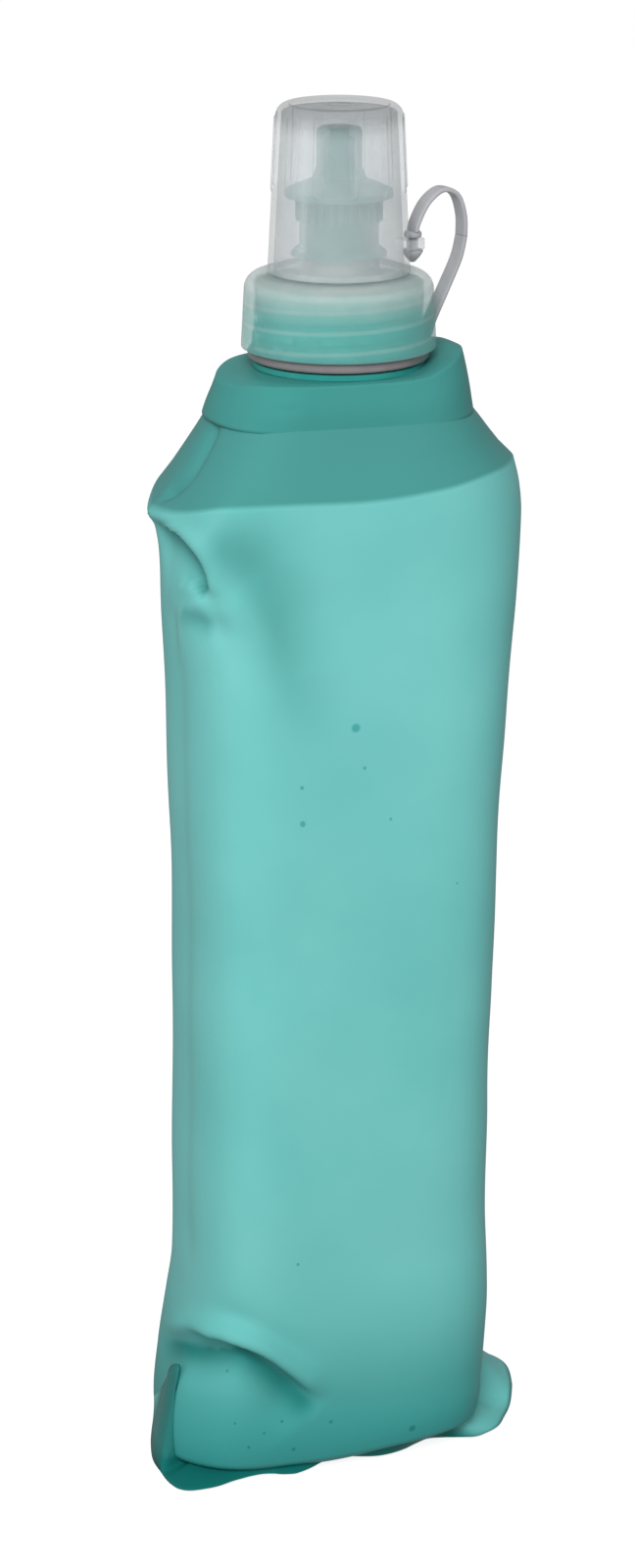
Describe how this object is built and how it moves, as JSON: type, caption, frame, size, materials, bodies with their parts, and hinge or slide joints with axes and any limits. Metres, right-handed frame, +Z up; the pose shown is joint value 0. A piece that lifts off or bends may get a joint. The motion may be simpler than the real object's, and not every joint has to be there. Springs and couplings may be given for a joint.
{
  "type": "folding water bottle",
  "caption": "Soft collapsible water flask: welded film bag with a moulded screw neck, screw collar with push-pull nozzle, and a tethered clear dust cover.",
  "frame": {"origin": "on the floor, centre of the weld hem, on the axis of the neck", "axes": "+Z up the neck, -Y out of the bag's front face, +X towards the strap's side"},
  "size_m": [0.066, 0.056, 0.2454],
  "materials": {
    "film": "satin translucent TPU film",
    "neck": "moulded, glossy",
    "tether": "moulded, translucent",
    "frosted_cap": "frosted translucent",
    "gasket": "satin silicone",
    "nozzle": "satin translucent",
    "clear_cover": "clear, polished"
  },
  "bodies": {
    "bag": {"base_panel": "film", "body_sleeve": "film"},
    "neck": {"shoulder_panel": "film", "neck_spout": "neck"},
    "tether": {"tether_ring": "tether", "strap_lower": "tether"},
    "closure": {"collar": "frosted_cap", "cap_gasket": "gasket", "strap_upper": "tether"},
    "spout": {"nozzle": "nozzle"},
    "cover": {"dust_cover": "clear_cover"}
  },
  "joints": [
    {"name": "bag_fold", "type": "slide", "parent": "bag", "child": "neck", "axis": [0, 0, -1], "range_m": [0, 0.12], "deforming": ["body_sleeve"]},
    {"name": "closure_turn", "type": "hinge", "parent": "neck", "child": "tether", "pos_m": [0, 0, 0.2039], "axis": [0, 0, 1], "range_deg": [0, 720]},
    {"name": "closure_lift", "type": "slide", "parent": "tether", "child": "closure", "axis": [0, 0, 1], "range_m": [0, 0.007], "deforming": ["strap_lower"]},
    {"name": "nozzle_pull", "type": "slide", "parent": "closure", "child": "spout", "axis": [0, 0, 1], "range_m": [0, 0.002]},
    {"name": "cover_pull", "type": "slide", "parent": "closure", "child": "cover", "axis": [0, 0, 1], "range_m": [0, 0.0265], "deforming": ["strap_upper"]}
  ],
  "couplings": [
    {"joint": "closure_lift", "follows": "closure_turn", "m_per_rad": 0.00055704}
  ]
}
